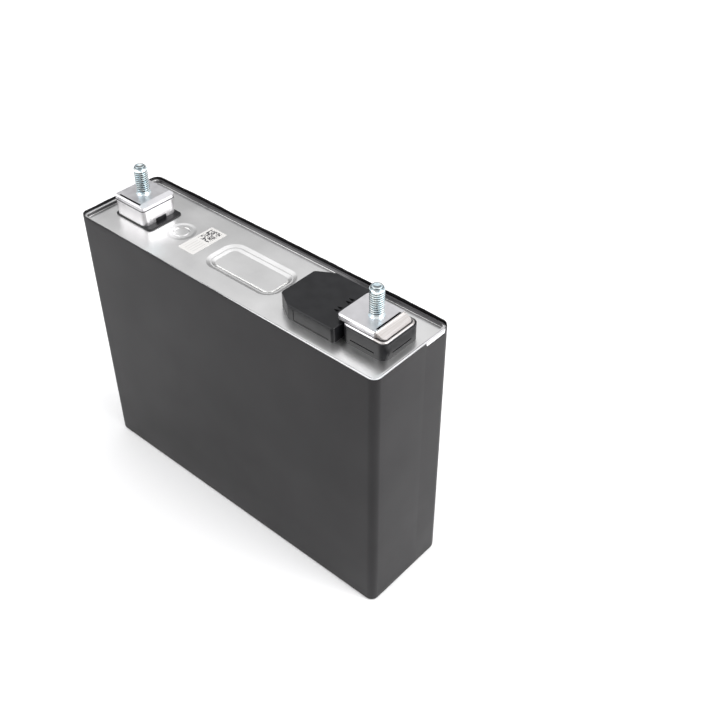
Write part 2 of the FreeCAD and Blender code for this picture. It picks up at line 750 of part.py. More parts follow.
def make_positive_block():
    """The aluminium block that lifts the positive stud, notched where the tray's tab comes up."""
    block = new_body("positive_terminal_block", "0 - terminal_x")
    half = "(block_length / 2)"
    level = "(lid_level + tray_height)"
    pad(block, centred(half, "(block_width / 2)", "block_round"), level, "terminal_height - tray_height")
    dress(block, "Fillet", "block_edge_round", edge_at(TERMINAL_TOP))
    pocket(block, rectangle(f"{half} - notch_depth", "0 - notch_width / 2", f"{half} + 1", "notch_width / 2"),
           level, "notch_height", upwards=True)
    pocket(block, circle("0", "0", "rivet_radius"), TERMINAL_TOP, "terminal_height")


def make_negative_base():
    """The tall plastic base: a wall round three sides of the negative plate, with a thin slit in each side."""
    base = new_body("negative_terminal_base")
    top = "(lid_level + base_height)"
    foot = "lid_level + slit_foot"
    head = "lid_level + slit_foot + slit_height"
    pad(base, rounded("base_start", "0 - base_half_width", "base_end", "base_half_width", "base_round"),
        "lid_level", "base_wall_height")
    seat = "(plate_half_width + plate_gap)"
    pocket(base, rounded("base_start - plate_round - 1", f"0 - {seat}", "plate_end + plate_gap", seat,
                         "plate_round"), "lid_level + base_wall_height", "base_wall_height - base_height")
    front = rectangle("base_start + slit_margin", foot, "base_end - slit_margin", head)
    pocket(base, front, "base_half_width", "slit_depth", "XZ_Plane")
    pocket(base, front, "0 - base_half_width", "slit_depth", "XZ_Plane", upwards=True)
    end = rectangle("slit_margin - base_half_width", foot, "base_half_width - slit_margin", head)
    pocket(base, end, "base_end", "slit_depth", "YZ_Plane")
    pocket(base, circle("terminal_x", "0", "gasket_flange_radius"), "lid_level", "gasket_flange_height",
           upwards=True)
    pocket(base, circle("terminal_x", "0", "rivet_radius"), top, "base_height + 1")


def make_negative_plate():
    """The negative terminal plate and the thin tongue that reaches the overcharge device."""
    plate = new_body("negative_terminal_plate")
    level = "(lid_level + base_height)"
    pad(plate, rounded("base_start", "0 - plate_half_width", "plate_end", "plate_half_width", "plate_round"),
        level, "terminal_height - base_height")
    dress(plate, "Fillet", "plate_edge_round", edge_at(TERMINAL_TOP))
    pad(plate, rounded("tongue_start", "0 - tongue_half_width", "base_start + plate_round + tongue_corner",
                       "tongue_half_width", "tongue_corner"), level, "tongue_sheet")
    pocket(plate, circle("terminal_x", "0", "rivet_radius"), TERMINAL_TOP, "terminal_height")


# ---------------------------------------------------------------- overcharge safety device

def make_overcharge_device():
    """The dished diaphragm welded in the lid and the contact that hangs above it from the tongue."""
    diaphragm = new_body("overcharge_diaphragm", "device_x")
    foot = "(lid_level - diaphragm_sheet)"
    revolve(diaphragm, (("0", f"{foot} - diaphragm_dish"),
                        ("diaphragm_knee_radius", f"{foot} - diaphragm_dish"),
                        ("diaphragm_bend_radius", foot), ("diaphragm_radius", foot),
                        ("diaphragm_radius", "lid_level"), ("diaphragm_bend_radius", "lid_level"),
                        ("diaphragm_knee_radius", "lid_level - diaphragm_dish"),
                        ("0", "lid_level - diaphragm_dish")))
    contact = new_body("overcharge_contact", "device_x")
    top = "(lid_level + base_height)"
    tip = f"({top} - contact_height)"
    revolve(contact, (("0", tip), ("contact_radius - contact_bevel", tip),
                      ("contact_radius", f"{tip} + contact_bevel"), ("contact_radius", top), ("0", top)))


def cover_outline(inset):
    """The cover's plan, cut across at its two -X corners, set in from the outside."""
    left = f"(cover_start + {inset})"
    right = f"(cover_end - {inset})"
    half = f"(cover_half_width - {inset})"
    bend = f"(cover_start + cover_cut_length + {inset} / 2)"
    cut = f"(cover_half_width - cover_cut_width - {inset} / 2)"
    return polygon((bend, f"0 - {half}"), (right, f"0 - {half}"), (right, half),
                   (bend, half), (left, cut), (left, f"0 - {cut}"))


def make_cover():
    """The moulded black cover over the overcharge device.

    Both long sides have a sunk panel and the roof has two pairs of small slanting clip slots.
    """
    cover = new_body("overcharge_cover")
    top = "(lid_level + cover_height)"
    roof = "(cover_height - cover_roof)"
    pad(cover, cover_outline("0"), "lid_level", "cover_height")
    dress(cover, "Fillet", "cover_corner", lambda edge: edge.BoundBox.ZLength > value_of("cover_height / 2"))
    dress(cover, "Fillet", "cover_edge_round", edge_at(top))
    pocket(cover, cover_outline("cover_wall"), "lid_level", roof, upwards=True)
    panel = rectangle("panel_start", "lid_level + panel_foot", "panel_end", "lid_level + panel_top")
    pocket(cover, panel, "cover_half_width", "panel_depth", "XZ_Plane")
    pocket(cover, panel, "0 - cover_half_width", "panel_depth", "XZ_Plane", upwards=True)
    pocket(cover, rectangle("cover_end - cover_wall - cover_gap", "0 - tongue_half_width - cover_gap",
                            "cover_end + cover_gap", "tongue_half_width + cover_gap"),
           "lid_level + base_height - cover_gap", "tongue_sheet + 2 * cover_gap", upwards=True)
    slots = []
    for place in (-0.5, 0.5):
        for side in (-1, 1):
            near = f"clip_pitch * {place} + {side} * clip_spread"
            slots.append(polygon(("clip_x", near),
                                 ("clip_x - clip_length", f"{near} + {side} * clip_width / 2"),
                                 ("clip_x", f"{near} + {side} * clip_width")))
    pocket(cover, both(*slots), top, "clip_depth")


# ---------------------------------------------------------------- electrodes

def make_roll(number, place):
    """One flat-wound roll: its windings, both bare foil ends and its closing tape."""
    centre = f"(roll_pitch * {place})"
    inward = 1 if number % 2 else -1
    finger = f"(roll_pitch * {place} + roll_pitch * {0.5 * inward})"
    windings = new_body(f"roll_{number}_windings")
    middle = "((roll_bottom + roll_top) / 2)"
    pad(windings, slot(centre, middle, "roll_top - roll_bottom", "roll_thickness", upright=True),
        "0", "roll_length", "YZ_Plane", middle=True)
    pocket(windings, slot(centre, middle, "roll_top - roll_bottom - roll_thickness", "roll_slit",
                          upright=True), "roll_length / 2 + 1", "roll_length + 2", "YZ_Plane")
    for metal, side in (("copper", 1), ("aluminium", -1)):
        edge = new_body(f"roll_{number}_{metal}_edge")
        start = f"{side} * roll_length / 2"
        pinch = f"{side} * (roll_length / 2 + foil_gather)"
        end = f"{side} * foil_end"
        near = f"{finger} - {inward} * finger_sheet / 2"
        pad(edge, polygon((start, f"{centre} - {inward} * roll_thickness * foil_spread"),
                          (pinch, f"{near} - {inward} * foil_stack"),
                          (end, f"{near} - {inward} * foil_stack"), (end, near), (pinch, near),
                          (start, f"{centre} + {inward} * roll_thickness * foil_spread")),
            "foil_bottom", "foil_top - foil_bottom")
    face = f"({centre} + roll_thickness / 2)"
    box(f"roll_{number}_end_tape", "0 - tape_width / 2", face, f"{middle} - tape_height / 2",
        "tape_width / 2", f"{face} + tape_sheet", f"{middle} + tape_height / 2")


def make_weld_strips(name, side):
    """The four backing strips that the foil ends are welded against at one end of the cell."""
    strips = []
    for row, finger in enumerate(("0 - roll_pitch", "roll_pitch")):
        for inward in (-1, 1):
            near = f"({finger} + {inward} * (finger_sheet / 2 + foil_stack))"
            far = f"({finger} + {inward} * (finger_sheet / 2 + foil_stack + strip_sheet))"
            low, high = (near, far) if inward > 0 else (far, near)
            ends = [f"{side} * (foil_end - {inset})" for inset in ("strip_far", "strip_near")]
            left, right = ends if side > 0 else reversed(ends)
            strips.append(box(f"{name}_{row}{'ab'[inward > 0]}", left, low, "strip_bottom",
                              right, high, "strip_top", keep=False))
    group = doc.addObject("Part::Compound", name)
    group.Label = name
    group.Links = strips
    parts.append(group)


def make_bag_and_spacers():
    """The insulating bag around the rolls, the spacer below it and the two end retainers."""
    spacer = new_body("bottom_spacer")
    pad(spacer, centred("(bag_length / 2 - spacer_margin)", "(bag_thickness / 2 - spacer_margin)",
                        "bag_corner"), FLOOR, "spacer_sheet")
    bag = new_body("insulation_bag")
    foot = f"({FLOOR} + spacer_sheet)"
    pad(bag, centred("bag_length / 2", "bag_thickness / 2", "bag_corner"), foot, f"bag_top - {foot}")
    pocket(bag, centred("(bag_length / 2 - bag_sheet)", "(bag_thickness / 2 - bag_sheet)",
                        "bag_corner - bag_sheet"), "bag_top", f"bag_top - {foot} - bag_sheet")
    near = "(foil_end + retainer_gap)"
    for name, low, high in (("negative_end_retainer", near, f"{near} + retainer_sheet"),
                            ("positive_end_retainer", f"0 - {near} - retainer_sheet", f"0 - {near}")):
        box(name, low, "0 - collector_half_width", "finger_foot", high, "collector_half_width", "roll_top")


# ---------------------------------------------------------------- the whole cell

make_can()
make_lid()
make_weld_bead()
make_film()
make_flaps()
make_label()
make_vent()
make_filling_port()
for polarity, axis in (("positive", "0 - terminal_x"), ("negative", "terminal_x")):
    negative = polarity == "negative"
    make_stud_plate(f"{polarity}_stud_plate", axis, f"{polarity}_plate_shift", across=negative)
    make_stud(f"{polarity}_stud", axis)
    make_rivet(f"{polarity}_rivet", axis)
    make_gasket(f"{polarity}_seal_gasket", axis)
    make_inner_insulator(f"{polarity}_inner_insulator", axis)
    make_collector(f"{polarity}_collector", axis, turned=negative, fused=not negative)
    make_weld_strips(f"{polarity}_weld_strips", 1 if negative else -1)
make_positive_tray()
make_positive_block()
make_negative_base()
make_negative_plate()
make_overcharge_device()
make_cover()
for number, place in enumerate((-1.5, -0.5, 0.5, 1.5), start=1):
    make_roll(number, place)
make_bag_and_spacers()
doc.removeObject(scratch.Name)
doc.recompute()

for item in doc.Objects:
    if "Invalid" in item.State or "Error" in item.State:
        raise RuntimeError(f"{item.Label} could not be made: {item.State}")
for part in parts:
    if part.Shape.isNull() or not part.Shape.isValid():
        raise RuntimeError(f"{part.Label} has no valid shape")

os.makedirs("parts", exist_ok=True)
for part in parts:
    part.Shape.exportStep(f"parts/{part.Label}.step")
print(f"{len(parts)} parts written")
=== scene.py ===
import math
import random

import bmesh
import bpy
from mathutils import Matrix, Vector
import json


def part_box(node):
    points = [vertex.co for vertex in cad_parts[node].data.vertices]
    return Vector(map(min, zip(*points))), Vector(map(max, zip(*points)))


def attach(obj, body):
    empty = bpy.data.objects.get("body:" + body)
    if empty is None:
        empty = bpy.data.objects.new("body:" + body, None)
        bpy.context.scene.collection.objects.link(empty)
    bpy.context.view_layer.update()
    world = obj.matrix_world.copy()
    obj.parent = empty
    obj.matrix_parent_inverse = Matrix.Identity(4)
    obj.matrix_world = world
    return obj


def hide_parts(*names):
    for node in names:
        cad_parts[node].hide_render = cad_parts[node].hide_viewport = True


# The looks of a prismatic battery cell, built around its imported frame.
# The frame's own axes: X along the cell, Y through its thickness, Z up.
# Sizes of the cell are in millimetres and are turned into metres with MM; the stage and lights are in metres.

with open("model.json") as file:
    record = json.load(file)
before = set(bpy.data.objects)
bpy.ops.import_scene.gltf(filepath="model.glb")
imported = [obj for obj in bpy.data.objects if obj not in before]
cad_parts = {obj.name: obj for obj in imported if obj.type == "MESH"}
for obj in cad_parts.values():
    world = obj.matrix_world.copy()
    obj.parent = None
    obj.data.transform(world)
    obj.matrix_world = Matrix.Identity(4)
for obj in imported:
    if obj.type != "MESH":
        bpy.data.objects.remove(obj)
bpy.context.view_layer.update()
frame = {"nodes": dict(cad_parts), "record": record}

MM = 0.001
BODY = "root"
nodes = frame["nodes"]

LID_LEVEL = 127.4
RIM_LEVEL = 129.0
CAN_CORNER = 3.5
BACK_WELD = 21.7        # the weld's middle along the back, in Y
STUD_AXIS = 68.0        # the studs stand at X = -STUD_AXIS and +STUD_AXIS
THREAD_PITCH = 1.0
THREAD_DEPTH = 0.61
THREAD_MAJOR = 3.0      # radius of the thread's crests
PLATE_LENGTH = 19.4     # the square part of a stud's foot, along X
GROOVE_NEAR = 0.85      # from the foot's edge to its groove's near and far sides
GROOVE_FAR = 1.85
GROOVE_REACH = 7.05     # half of a groove's length
GROOVE_SHADE = 0.15     # how far below the foot's top a groove's shade starts
SHADE_TINT = (0.09, 0.088, 0.092)
LABEL_STOCK = (0.59, 0.58, 0.565)


# ---------------------------------------------------------------- material helpers

class Shader:
    """One material: a Principled surface and short calls that add nodes in front of it.

    The plain colour and roughness hold only where no node is linked in front of them.
    """

    def __init__(self, name, colour, roughness, metallic=0.0, **surface):
        self.material = bpy.data.materials.new(name)
        self.material.use_nodes = True
        self.tree = self.material.node_tree
        self.surface = self.tree.nodes["Principled BSDF"]
        self.set("Base Color", (*colour, 1.0))
        self.set("Roughness", roughness)
        self.set("Metallic", metallic)
        for socket, value in surface.items():
            self.set(socket.replace("_", " "), value)
        place = self.tree.nodes.new("ShaderNodeTexCoord").outputs["Object"]
        self.place = self.vector("SCALE", place, Scale=1 / MM)

    def set(self, socket, value):
        """Gives a socket of the surface a value, or links a node's output to it."""
        self.feed(self.surface.inputs[socket], value)

    def feed(self, socket, value):
        if isinstance(value, bpy.types.NodeSocket):
            self.tree.links.new(value, socket)
        else:
            socket.default_value = value

    def add(self, kind, output, settings=None, **inputs):
        """Adds a node, fills its inputs by name and returns one of its outputs."""
        node = self.tree.nodes.new(f"ShaderNode{kind}")
        for name, value in (settings or {}).items():
            setattr(node, name, value)
        for name, value in inputs.items():
            self.feed(node.inputs[name.replace("_", " ")], value)
        return node.outputs[output]

    def vector(self, operation, first, second=None, **inputs):
        """One vector operation; the result is a vector."""
        node = self.tree.nodes.new("ShaderNodeVectorMath")
        node.operation = operation
        self.feed(node.inputs[0], first)
        if second is not None:
            self.feed(node.inputs[1], second)
        for name, value in inputs.items():
            self.feed(node.inputs[name], value)
        return node.outputs[0]

    def math(self, operation, *values):
        """One operation on numbers."""
        node = self.tree.nodes.new("ShaderNodeMath")
        node.operation = operation
        for socket, value in zip(node.inputs, values):
            self.feed(socket, value)
        return node.outputs[0]

    def between(self, value, start, end):
        """1 where the value lies between start and end, 0 elsewhere."""
        over = self.math("GREATER_THAN", value, start)
        return self.math("MULTIPLY", over, self.math("LESS_THAN", value, end))

    def stretched(self, x=1.0, y=1.0, z=1.0):
        """The place in millimetres, squeezed or stretched along each axis."""
        return self.vector("MULTIPLY", self.place, (x, y, z))

    def axis(self, name):
        """One coordinate in millimetres."""
        return self.add("SeparateXYZ", name, Vector=self.place)

    def noise(self, scale, detail=2.0, place=None, roughness=0.5, distortion=0.0):
        """Soft noise from 0 to 1, with about scale features to the millimetre."""
        return self.add("TexNoise", "Fac", Vector=place or self.place, Scale=scale, Detail=detail,
                        Roughness=roughness, Distortion=distortion)

    def remap(self, value, low, high, to_low, to_high):
        """The value's range from low to high, moved on to another range and held inside it."""
        return self.add("MapRange", "Result", Value=value, From_Min=low, From_Max=high,
                        To_Min=to_low, To_Max=to_high)

    def blend(self, share, first, second):
        """A colour between two colours."""
        node = self.tree.nodes.new("ShaderNodeMix")
        node.data_type = "RGBA"
        colours = [socket for socket in node.inputs if socket.type == "RGBA"]
        self.feed(node.inputs[0], share)
        for socket, value in zip(colours, (first, second)):
            self.feed(socket, (*value, 1.0) if isinstance(value, tuple) else value)
        return next(socket for socket in node.outputs if socket.type == "RGBA")

    def bumps(self, *layers):
        """Stacks bump layers, each (height, depth in millimetres, strength)."""
        normal = None
        for height, depth, strength in layers:
            node = self.tree.nodes.new("ShaderNodeBump")
            self.feed(node.inputs["Height"], height)
            node.inputs["Distance"].default_value = depth * MM
            node.inputs["Strength"].default_value = strength
            if normal is not None:
                self.feed(node.inputs["Normal"], normal)
            normal = node.outputs["Normal"]
        self.set("Normal", normal)

    def tone(self):
        """The output that gives the surface its colour so far."""
        return self.surface.inputs["Base Color"].links[0].from_socket


# ---------------------------------------------------------------- materials

def film_material():
    """Satin dark grey polyester film: a fine grain, long slow waves and a faint cloud."""
    film = Shader("film_satin", (0.010, 0.0093, 0.0100), 0.37, IOR=1.27)
    cloud = film.noise(0.02, 2.0)
    film.set("Base Color", film.blend(film.remap(cloud, 0.3, 0.7, 0.0, 1.0),
                                      (0.008, 0.0074, 0.0081), (0.013, 0.0121, 0.0131)))
    film.set("Roughness", film.remap(film.noise(0.05, 3.0), 0.3, 0.7, 0.35, 0.40))
    grain = film.noise(5.0, 3.0)
    waves = film.noise(0.02, 1.0)
    film.bumps((waves, 0.15, 0.15), (grain, 0.003, 0.2))
    return film.material


def rolled_aluminium(name, colour, roughness, shaded_wall=None, painted_shade_back=None):
    """Semi-bright rolled sheet: streaks along X, a soft cloud and a few fine scratches.

    Between the two heights in shaded_wall the metal is painted dark: painted shade on the wall inside the
    rim, which also reaches higher beside the back weld.
    Beyond the Y given for the back, it is painted dark as well: painted shade on the rim beside the weld.
    """
    sheet = Shader(name, colour, roughness, 1.0)
    streaks = sheet.noise(1.0, 4.0, sheet.stretched(0.03, 6.0, 6.0), 0.6)
    cloud = sheet.noise(0.06, 3.0)
    light = tuple(min(1.0, channel * 1.03) for channel in colour)
    dark = tuple(channel * 0.93 for channel in colour)
    tone = sheet.blend(sheet.remap(cloud, 0.35, 0.65, 0.0, 1.0), dark, light)
    if shaded_wall:
        height = sheet.axis("Z")
        above = sheet.remap(height, shaded_wall[0], shaded_wall[0] + 0.15, 0.0, 1.0)
        below = sheet.remap(height, shaded_wall[1] - 0.15, shaded_wall[1], 1.0, 0.0)
        back = sheet.remap(sheet.axis("Y"), BACK_WELD - 0.95, BACK_WELD - 0.8, 0.0, 1.0)
        below = sheet.math("MAXIMUM", below, back)
        # painted shade: the rim's inner wall, and the lid beside the back weld, are painted dark
        tone = sheet.blend(sheet.math("MULTIPLY", above, below), tone, SHADE_TINT)
    if painted_shade_back:
        # painted shade on the can's rim at the back, beside the weld
        behind = sheet.math("GREATER_THAN", sheet.axis("Y"), painted_shade_back - 0.3)
        tone = sheet.blend(behind, tone, SHADE_TINT)
    sheet.set("Base Color", tone)
    sheet.set("Roughness", sheet.remap(sheet.math("ADD", streaks, cloud), 0.75, 1.25,
                                       roughness * 0.92, roughness * 1.1))
    fine = sheet.noise(0.7, 2.0, sheet.stretched(0.25, 3.5, 1.0), 0.7, 1.2)
    scratch = sheet.remap(sheet.math("ABSOLUTE", sheet.math("SUBTRACT", fine, 0.5)), 0.0, 0.006, 0.0, 1.0)
    sheet.bumps((streaks, 0.001, 0.2), (sheet.noise(0.12, 2.0), 0.04, 0.1), (scratch, 0.002, 0.2))
    return sheet.material


def bright_metal_shader(name, colour, roughness, grain=(1.0, 1.0, 1.0), depth=0.004):
    """Plated or machined metal with a directional grain."""
    metal = Shader(name, colour, roughness, 1.0)
    lines = metal.noise(1.0, 4.0, metal.stretched(*grain), 0.6)
    cloud = metal.noise(0.3, 3.0)
    metal.set("Roughness", metal.remap(metal.math("ADD", lines, cloud), 0.7, 1.3, roughness * 0.75,
                                       roughness * 1.3))
    tint = tuple(channel * 0.92 for channel in colour)
    metal.set("Base Color", metal.blend(metal.remap(cloud, 0.3, 0.7, 0.0, 1.0), tint, colour))
    metal.bumps((lines, depth, 0.3))
    return metal


def weld_material():
    """The laser weld: bright along the front and the ends, painted dark at the back as painted shade."""
    weld = bright_metal_shader("weld_bright", (0.74, 0.74, 0.75), 0.3, (2.0, 2.0, 2.0), 0.01)
    # painted shade: the weld darkens towards the back
    back = weld.remap(weld.axis("Y"), BACK_WELD - 1.2, BACK_WELD - 0.6, 0.0, 1.0)
    weld.set("Base Color", weld.blend(back, weld.tone(), (0.10, 0.098, 0.102)))
    return weld.material


def bright_metal(*arguments):
    """The material of a bright metal shader."""
    return bright_metal_shader(*arguments).material


def plate_material():
    """Plated steel: a soft directional sheen, in shade in each foot's groove and along its lower edge.

    The positive foot has its groove at the front and the negative one at its +X edge. The lip beyond the
    second groove is duller, a little warmer and finely lined.
    """
    plate = bright_metal_shader("stud_plate_plated", (0.78, 0.772, 0.79), 0.38, (0.15, 6.0, 6.0), 0.001)
    across, along, height = plate.axis("X"), plate.axis("Y"), plate.axis("Z")
    low, high = (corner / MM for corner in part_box("positive_stud_plate"))
    middle = (low.x + high.x) / 2
    front = plate.math("MULTIPLY", plate.between(across, middle - GROOVE_REACH, middle + GROOVE_REACH),
                       plate.between(along, low.y + GROOVE_NEAR, low.y + GROOVE_FAR))
    deep = plate.math("LESS_THAN", height, high.z - GROOVE_SHADE)
    low, high = (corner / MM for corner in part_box("negative_stud_plate"))
    edge = low.x + PLATE_LENGTH
    end = plate.math("MULTIPLY", plate.between(across, edge - GROOVE_FAR, edge - GROOVE_NEAR),
                     plate.between(along, -GROOVE_REACH, GROOVE_REACH))
    groove = plate.math("MULTIPLY", plate.math("MAXIMUM", front, end), deep)
    # painted shade along each foot's lower edge, up to these heights above its bottom
    positive_shade_top, negative_shade_top = low.z + 0.62, low.z + 0.25
    foot_shade_top = plate.remap(across, -1.0, 1.0, positive_shade_top, negative_shade_top)
    foot = plate.between(height, low.z, foot_shade_top)
    shade = plate.math("MAXIMUM", groove, plate.math("MULTIPLY", foot, 0.92))
    lines = plate.noise(1.0, 3.0, plate.stretched(3.0, 0.05, 3.0), 0.6)
    lip = plate.math("MULTIPLY", plate.between(across, edge - GROOVE_NEAR, high.x + 1), lines)
    tone = plate.blend(plate.math("MULTIPLY", lip, 1.7), plate.tone(), (0.44, 0.415, 0.40))
    plate.set("Base Color", plate.blend(shade, tone, (0.05, 0.05, 0.055)))
    return plate.material


def zinc_material():
    """Blue-passivated zinc with faint drifts of blue and straw, with painted shade down in the thread."""
    zinc = Shader("zinc_blue", (0.72, 0.78, 0.8), 0.2, 1.0)
    drift = zinc.noise(0.5, 2.0)
    blue = zinc.blend(zinc.remap(drift, 0.35, 0.65, 0.0, 1.0), (0.58, 0.70, 0.75), (0.78, 0.82, 0.81))
    across = zinc.math("SUBTRACT", zinc.math("ABSOLUTE", zinc.axis("X")), STUD_AXIS)
    square = zinc.math("ADD", zinc.math("POWER", across, 2.0), zinc.math("POWER", zinc.axis("Y"), 2.0))
    radius = zinc.math("SQRT", square)
    # painted shade: darker towards the thread's roots
    root = zinc.remap(radius, THREAD_MAJOR - THREAD_DEPTH, THREAD_MAJOR - 0.12, 1.0, 0.0)
    body = zinc.remap(radius, 2.2, 2.3, 0.0, 1.0)  # leaves out the dimple in the stud's end
    zinc.set("Base Color", zinc.blend(zinc.math("MULTIPLY", root, body), blue, (0.05, 0.06, 0.065)))
    zinc.set("Roughness", zinc.remap(zinc.noise(3.0, 4.0), 0.3, 0.7, 0.14, 0.28))
    zinc.bumps((zinc.noise(9.0, 3.0), 0.004, 0.3))
    return zinc.material


def moulded_plastic(name, colour, roughness, grain=3.5, depth=0.012, index=1.5):
    """Moulded plastic with a fine spark-eroded texture and slight flow marks."""
    plastic = Shader(name, colour, roughness, IOR=index)
    texture = plastic.noise(grain, 2.0)
    flow = plastic.noise(0.2, 3.0)
    plastic.set("Roughness", plastic.remap(flow, 0.3, 0.7, roughness * 0.85, roughness * 1.15))
    lighter = tuple(min(1.0, channel * 1.25 + 0.004) for channel in colour)
    plastic.set("Base Color", plastic.blend(plastic.remap(flow, 0.35, 0.65, 0.0, 1.0), colour, lighter))
    plastic.bumps((texture, depth, 0.35))
    return plastic.material


def label_material():
    """White label stock with a generic printed patch and a few faint rules, no characters."""
    low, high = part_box("lid_label")
    left, front, back = low.x / MM, low.y / MM, high.y / MM
    width = (high.x - low.x) / MM
    label = Shader("label_print", LABEL_STOCK, 0.6, IOR=1.45)
    across = label.remap(label.axis("X"), left, left + width, 0.0, 1.0)
    along = label.remap(label.axis("Y"), front, back, 0.0, 1.0)
    patch = label.math("MULTIPLY", label.between(across, 0.13, 0.84), label.between(along, 0.52, 0.94))
    cell = label.vector("FLOOR", label.stretched(2.1, 2.1, 0.0))
    speckle = label.add("TexWhiteNoise", "Value", {"noise_dimensions": "3D"}, Vector=cell)
    printed = label.math("MULTIPLY", patch, label.math("GREATER_THAN", speckle, 0.46))
    rules = label.math("GREATER_THAN", label.math("FRACT", label.math("MULTIPLY", across, 6.0)), 0.72)
    ruled = label.math("MULTIPLY", rules, label.math("MULTIPLY", label.between(across, 0.15, 0.84),
                                                     label.between(along, 0.08, 0.45)))
    ink = label.math("ADD", label.math("MULTIPLY", printed, 0.93), label.math("MULTIPLY", ruled, 0.20))
    label.set("Base Color", label.blend(ink, LABEL_STOCK, (0.02, 0.02, 0.024)))
    label.set("Roughness", label.remap(ink, 0.0, 1.0, 0.5, 0.32))
    label.bumps((label.noise(3.0, 3.0), 0.01, 0.25))
    return label.material


def windings_material():
    """Pressed electrode stack: dark coating, with the layers' edges showing on the ends."""
    stack = Shader("windings_stack", (0.03, 0.03, 0.032), 0.6)
    layers = stack.add("TexWave", "Fac", {"bands_direction": "Y"}, Vector=stack.place, Scale=1.6,
                       Distortion=0.6, Detail=2.0)
    stack.set("Base Color", stack.blend(layers, (0.02, 0.02, 0.022), (0.10, 0.095, 0.09)))
    stack.bumps((layers, 0.05, 0.5), (stack.noise(4.0, 3.0), 0.01, 0.3))
    return stack.material


def foil_material(name, colour):
    """Bare foil ends pressed together: thin pleats that run down the stack, with painted shade in their
    hollows.
    """
    foil = Shader(name, colour, 0.3, 1.0)
    pleats = foil.noise(1.0, 4.0, foil.stretched(0.15, 9.0, 0.12), 0.6)
    foil.set("Roughness", foil.remap(pleats, 0.3, 0.7, 0.22, 0.42))
    # painted shade: the pleats' low parts are painted darker
    foil.set("Base Color", foil.blend(pleats, tuple(channel * 0.7 for channel in colour), colour))
    foil.bumps((pleats, 0.08, 0.5))
    return foil.material


def rubber_material():
    """Matt black rubber."""
    rubber = Shader("seal_rubber_matt", (0.02, 0.02, 0.02), 0.75)
    rubber.set("Roughness", rubber.remap(rubber.noise(0.8, 3.0), 0.3, 0.7, 0.65, 0.85))
    rubber.bumps((rubber.noise(6.0, 2.0), 0.01, 0.4))
    return rubber.material


MATERIALS = {
    "can_aluminium": rolled_aluminium("can_drawn", (0.83, 0.83, 0.84), 0.24, painted_shade_back=BACK_WELD),
    "lid_aluminium": rolled_aluminium("lid_rolled", (0.85, 0.848, 0.842), 0.31,
                                      shaded_wall=(LID_LEVEL + 0.02, RIM_LEVEL - 0.02)),
    "weld_aluminium": weld_material(),
    "terminal_aluminium": bright_metal("terminal_machined", (0.70, 0.69, 0.70), 0.42, (0.1, 0.1, 7.0), 0.001),
    "stud_plate_steel": plate_material(),
    "stud_zinc": zinc_material(),
    "film_black": film_material(),
    "moulding_black": moulded_plastic("moulding_satin", (0.005, 0.0051, 0.0062), 0.34, 3.5, 0.005, 1.38),
    "label_paper": label_material(),
    "seal_rubber": rubber_material(),
    "inner_plastic": moulded_plastic("inner_polypropylene", (0.78, 0.78, 0.74), 0.45),
    "inner_bag": moulded_plastic("inner_bag_film", (0.62, 0.68, 0.72), 0.3),
    "collector_copper": bright_metal("collector_copper", (0.85, 0.48, 0.33), 0.25, (6.0, 0.2, 0.2)),
    "collector_aluminium": bright_metal("collector_aluminium", (0.86, 0.86, 0.87), 0.25, (6.0, 0.2, 0.2)),
    "foil_copper": foil_material("foil_copper", (0.86, 0.50, 0.35)),
    "foil_aluminium": foil_material("foil_aluminium", (0.88, 0.88, 0.89)),
    "windings": windings_material(),
    "tape_green": moulded_plastic("tape_polyester", (0.05, 0.30, 0.12), 0.25, 8.0, 0.004),
}


# ---------------------------------------------------------------- mesh helpers

def piece(name, mesh, slot, *stood_for):
    """Puts a finished bmesh into the scene as a piece that stands for CAD nodes."""
    bmesh.ops.recalc_face_normals(mesh, faces=mesh.faces)
    data = bpy.data.meshes.new(name)
    mesh.to_mesh(data)
    mesh.free()
    data.materials.append(MATERIALS[slot])
    made = bpy.data.objects.new(name, data)
    bpy.context.scene.collection.objects.link(made)
    smooth_by_angle(made)
    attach(made, BODY)
    if stood_for:
        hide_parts(*stood_for)
    return made


def smooth_by_angle(made, limit=35.0):
    """Smooth shading, with edges sharper than the limit (degrees) kept crisp."""
    made.data.shade_smooth()
    made.data.set_sharp_from_angle(angle=math.radians(limit))


def skin(mesh, rings, closed=True):
    """Joins rings of points, each as long as the next, into a strip of quads; returns the vertices."""
    rows = [[mesh.verts.new(point) for point in ring] for ring in rings]
    count = len(rows[0])
    for lower, upper in zip(rows, rows[1:]):
        for index in range(count if closed else count - 1):
            following = (index + 1) % count
            mesh.faces.new((lower[index], lower[following], upper[following], upper[index]))
    return rows


def rounded_outline(half_x, half_y, radius, step, corner_steps=10):
    """Points and outward directions round a rectangle with round corners, anticlockwise from its -Y side.

    Each item is (x, y, outward x, outward y), in millimetres. A straight side has a point about every step.
    """
    points = []
    sides = (
        ((-half_x + radius, -half_y), (half_x - radius, -half_y), (0, -1)),
        ((half_x, -half_y + radius), (half_x, half_y - radius), (1, 0)),
        ((half_x - radius, half_y), (-half_x + radius, half_y), (0, 1)),
        ((-half_x, half_y - radius), (-half_x, -half_y + radius), (-1, 0)),
    )
    for start, end, out in sides:
        length = math.dist(start, end)
        count = max(1, round(length / step))
        for index in range(count):
            share = index / count
            x, y = (first + (last - first) * share for first, last in zip(start, end))
            points.append((x, y, *out))
        centre = (end[0] - out[0] * radius, end[1] - out[1] * radius)
        first = math.atan2(out[1], out[0])
        for index in range(corner_steps):
            angle = first + math.pi / 2 * index / corner_steps
            out_x, out_y = math.cos(angle), math.sin(angle)
            points.append((centre[0] + radius * out_x, centre[1] + radius * out_y, out_x, out_y))
    return points


def smooth(value, low, high):
    """0 below low, 1 above high, and an even curve between them."""
    share = min(1.0, max(0.0, (value - low) / (high - low)))
    return share * share * (3 - 2 * share)


